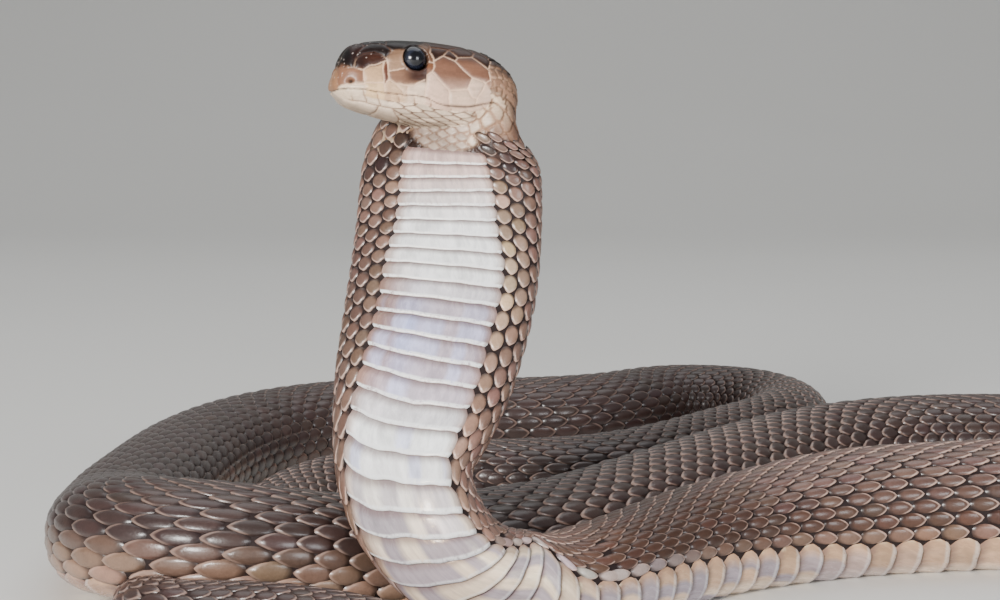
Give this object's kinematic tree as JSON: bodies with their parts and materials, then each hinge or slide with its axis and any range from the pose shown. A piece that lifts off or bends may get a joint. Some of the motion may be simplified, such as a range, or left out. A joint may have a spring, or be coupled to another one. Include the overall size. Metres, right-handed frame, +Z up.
{
  "type": "nubian spitting cobra model",
  "caption": "Still life-size cobra, head raised on a spread hood, with its scaled body lying in flat coils and its tail in front.",
  "frame": {"origin": "on the flat of the belly just behind the raised neck, at floor level", "axes": "+X to the viewer's right, +Y away from the viewer who faces the belly of the raised neck, +Z up"},
  "size_m": [0.2375, 0.2456, 0.1008],
  "materials": {
    "head_shields": "satin",
    "belly_scutes": "gloss",
    "back_scales": "satin",
    "eye": "gloss"
  },
  "bodies": {
    "root": {"head": "head_shields", "lower_jaw": "belly_scutes", "eye_left": "eye", "eye_right": "eye", "neck_hood": "belly_scutes", "neck_middle": "belly_scutes", "neck_base": "belly_scutes", "body_front_left": "back_scales", "body_front_right": "back_scales", "right_bend_near": "back_scales", "right_bend_middle": "back_scales", "right_bend_far": "back_scales", "body_middle_right": "back_scales", "body_middle_left": "back_scales", "body_left": "back_scales", "left_bend_near": "back_scales", "left_bend_far": "back_scales", "back_left": "back_scales", "back_corner": "back_scales", "back_middle": "back_scales", "back_bend_far": "back_scales", "back_bend_near": "back_scales", "inner_right": "back_scales", "inner_middle": "back_scales", "inner_left": "back_scales", "tail_root": "back_scales", "tail_under": "back_scales", "tail_bend": "back_scales", "tail_front": "back_scales", "tail_tip": "back_scales"}
  },
  "joints": []
}
